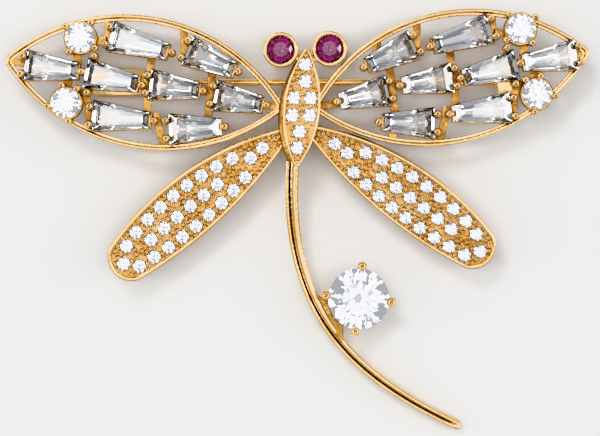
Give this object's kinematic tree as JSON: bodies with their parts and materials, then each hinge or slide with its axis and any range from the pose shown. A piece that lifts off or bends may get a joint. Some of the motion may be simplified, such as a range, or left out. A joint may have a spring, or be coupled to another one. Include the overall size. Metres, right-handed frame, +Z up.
{
  "type": "insect brooch",
  "caption": "Dragonfly brooch: open upper wings of tapered stones, pave lower wings and body, red eyes, a curved tail with a solitaire, and a hinged pin on the back.",
  "frame": {"origin": "on the surface that the brooch lies on, under the middle of its outline", "axes": "+Z up out of the face, +X towards the right wings as the wearer is faced, +Y towards the head"},
  "size_m": [0.0586, 0.0424, 0.0053],
  "materials": {
    "gold": "polished, gold plated",
    "clear_stone": "faceted, clear",
    "red_stone": "faceted, red"
  },
  "bodies": {
    "brooch": {"gold_frame": "gold", "hinge_rivet": "gold", "left_pave": "clear_stone", "right_pave": "clear_stone", "body_pave": "clear_stone", "solitaire_stone": "clear_stone", "left_baguette_1": "clear_stone", "left_baguette_2": "clear_stone", "left_baguette_3": "clear_stone", "left_baguette_4": "clear_stone", "left_baguette_5": "clear_stone", "left_baguette_6": "clear_stone", "left_baguette_7": "clear_stone", "left_baguette_8": "clear_stone", "right_baguette_1": "clear_stone", "right_baguette_2": "clear_stone", "right_baguette_3": "clear_stone", "right_baguette_4": "clear_stone", "right_baguette_5": "clear_stone", "right_baguette_6": "clear_stone", "right_baguette_7": "clear_stone", "right_baguette_8": "clear_stone", "left_round_1": "clear_stone", "left_round_2": "clear_stone", "right_round_1": "clear_stone", "right_round_2": "clear_stone", "left_eye_stone": "red_stone", "right_eye_stone": "red_stone"},
    "pin": {"pin_stem": "gold"}
  },
  "joints": [
    {"name": "pin_hinge", "type": "hinge", "parent": "brooch", "child": "pin", "pos_m": [0.0212, 0.01399, 0.0015], "axis": [0, -1, 0], "range_deg": [0, 100]}
  ]
}
